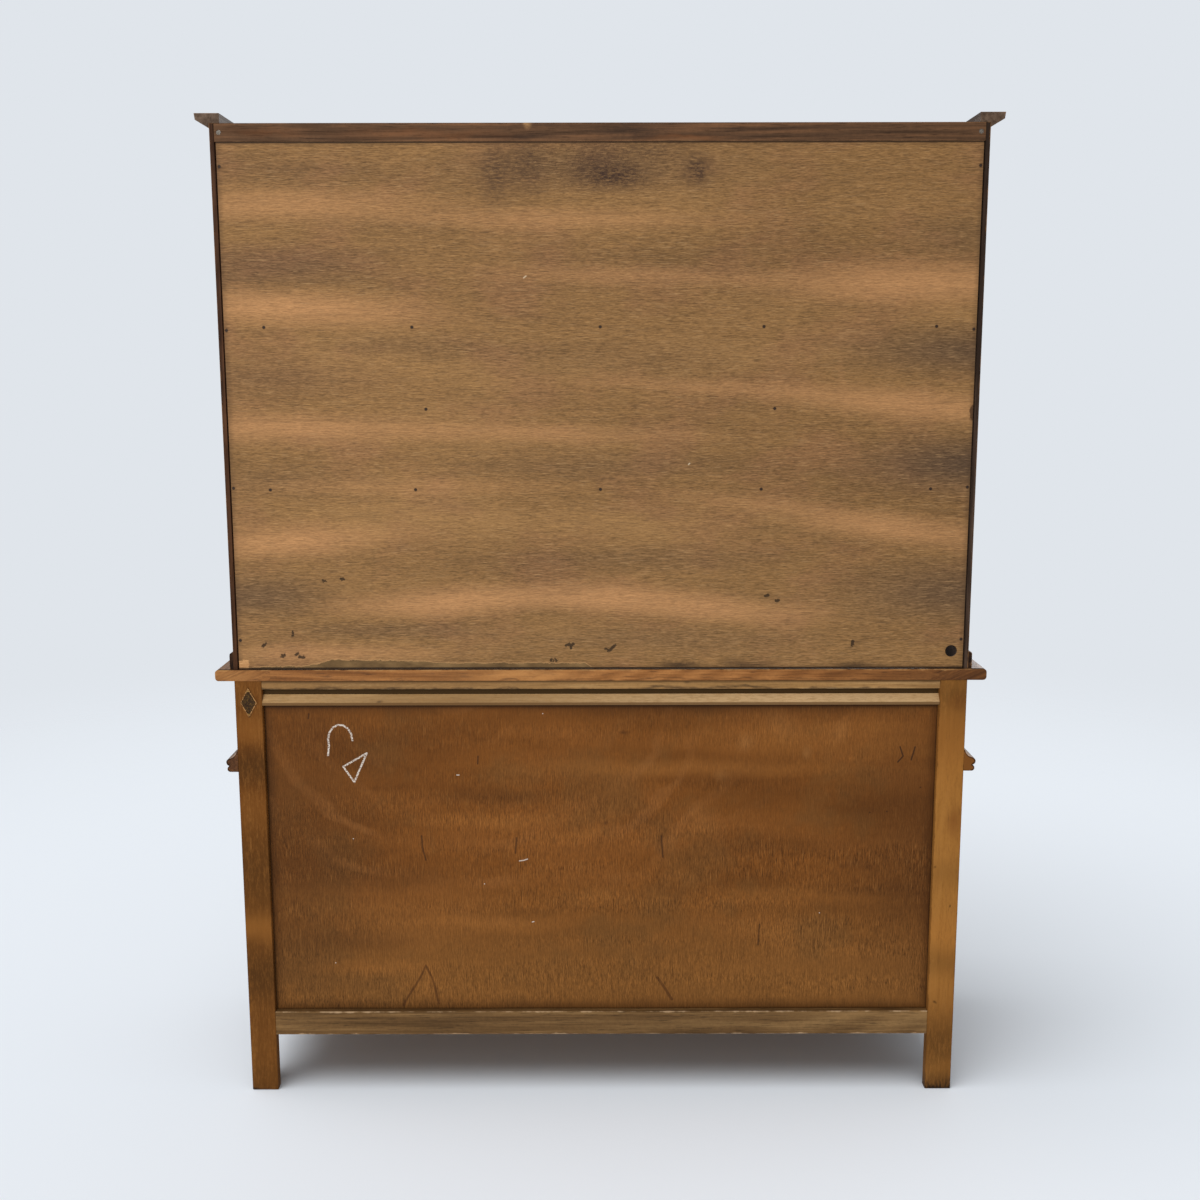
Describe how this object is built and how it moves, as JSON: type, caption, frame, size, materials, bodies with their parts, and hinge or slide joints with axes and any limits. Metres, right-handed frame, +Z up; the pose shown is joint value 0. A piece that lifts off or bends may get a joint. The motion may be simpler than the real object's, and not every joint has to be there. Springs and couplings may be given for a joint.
{
  "type": "welsh dresser",
  "caption": "Oak welsh dresser: cupboard base on short legs with drawers and panelled doors, and a plate rack with shelves, small cupboards and a moulded cornice on top.",
  "frame": {"origin": "on the floor, under the middle of the worktop", "axes": "+Z up, the front with the drawers and doors faces -Y, +X to the right seen from the front"},
  "size_m": [1.372, 0.458, 1.753],
  "materials": {
    "dark_oak": "dark stained oak, waxed",
    "worktop_oak": "stained oak, worn wax",
    "honey_oak": "stained oak, satin",
    "rack_ply": "stained oak plywood, matt",
    "base_ply": "stained plywood, matt",
    "pale_pine": "bare softwood",
    "drawer_wood": "bare hardwood linings",
    "old_brass": "darkened brass",
    "steel_pin": "rusted wire"
  },
  "bodies": {
    "carcass": {"front_leg_left": "dark_oak", "front_leg_right": "dark_oak", "side_frame_left": "dark_oak", "side_frame_right": "dark_oak", "side_panels": "dark_oak", "front_rails": "dark_oak", "front_muntins": "dark_oak", "front_centre_panel": "dark_oak", "waist_moulding": "dark_oak", "rack_side_left": "dark_oak", "rack_side_right": "dark_oak", "rack_top_board": "dark_oak", "rack_top_rail": "dark_oak", "rack_upper_shelf": "dark_oak", "rack_lower_shelf": "dark_oak", "rack_partitions": "dark_oak", "cornice": "dark_oak", "frieze_rail": "dark_oak", "rack_foot_mouldings": "dark_oak", "worktop": "worktop_oak", "worktop_end_clamps": "worktop_oak", "rear_leg_left": "honey_oak", "rear_leg_right": "honey_oak", "back_bottom_rail": "honey_oak", "rack_back_panel": "rack_ply", "base_back_panel": "base_ply", "cupboard_floor": "base_ply", "back_top_rail": "pale_pine", "back_batten": "pale_pine", "cupboard_shelf": "pale_pine", "cupboard_battens": "pale_pine", "drawer_runners": "pale_pine", "runner_rear_rail": "pale_pine", "rack_dowels": "pale_pine", "badge_plate": "old_brass", "badge_pins": "old_brass", "hinge_leaves": "old_brass", "panel_pins": "steel_pin", "rail_screws": "steel_pin"},
    "drawer_left": {"drawer_left_front": "dark_oak", "drawer_left_box": "drawer_wood", "drawer_left_knob": "old_brass"},
    "drawer_middle": {"drawer_middle_front": "dark_oak", "drawer_middle_box": "drawer_wood", "drawer_middle_knob": "old_brass"},
    "drawer_right": {"drawer_right_front": "dark_oak", "drawer_right_box": "drawer_wood", "drawer_right_knob": "old_brass"},
    "door_left": {"door_left_frame": "dark_oak", "door_left_panel": "dark_oak", "door_left_fittings": "old_brass"},
    "door_right": {"door_right_frame": "dark_oak", "door_right_panel": "dark_oak", "door_right_fittings": "old_brass"},
    "rack_door_left": {"rack_door_left_frame": "dark_oak", "rack_door_left_panel": "dark_oak", "rack_door_left_fittings": "old_brass"},
    "rack_door_right": {"rack_door_right_frame": "dark_oak", "rack_door_right_panel": "dark_oak", "rack_door_right_fittings": "old_brass"}
  },
  "joints": [
    {"name": "drawer_left_slide", "type": "slide", "parent": "carcass", "child": "drawer_left", "axis": [0, -1, 0], "range_m": [0, 0.28]},
    {"name": "drawer_middle_slide", "type": "slide", "parent": "carcass", "child": "drawer_middle", "axis": [0, -1, 0], "range_m": [0, 0.28]},
    {"name": "drawer_right_slide", "type": "slide", "parent": "carcass", "child": "drawer_right", "axis": [0, -1, 0], "range_m": [0, 0.28]},
    {"name": "door_left_hinge", "type": "hinge", "parent": "carcass", "child": "door_left", "pos_m": [-0.6039, -0.2033, 0], "axis": [0, 0, -1], "range_deg": [0, 170]},
    {"name": "door_right_hinge", "type": "hinge", "parent": "carcass", "child": "door_right", "pos_m": [0.6039, -0.2033, 0], "axis": [0, 0, 1], "range_deg": [0, 170]},
    {"name": "rack_door_left_hinge", "type": "hinge", "parent": "carcass", "child": "rack_door_left", "pos_m": [-0.6339, -0.0183, 0], "axis": [0, 0, -1], "range_deg": [0, 170]},
    {"name": "rack_door_right_hinge", "type": "hinge", "parent": "carcass", "child": "rack_door_right", "pos_m": [0.6339, -0.0183, 0], "axis": [0, 0, 1], "range_deg": [0, 170]}
  ]
}
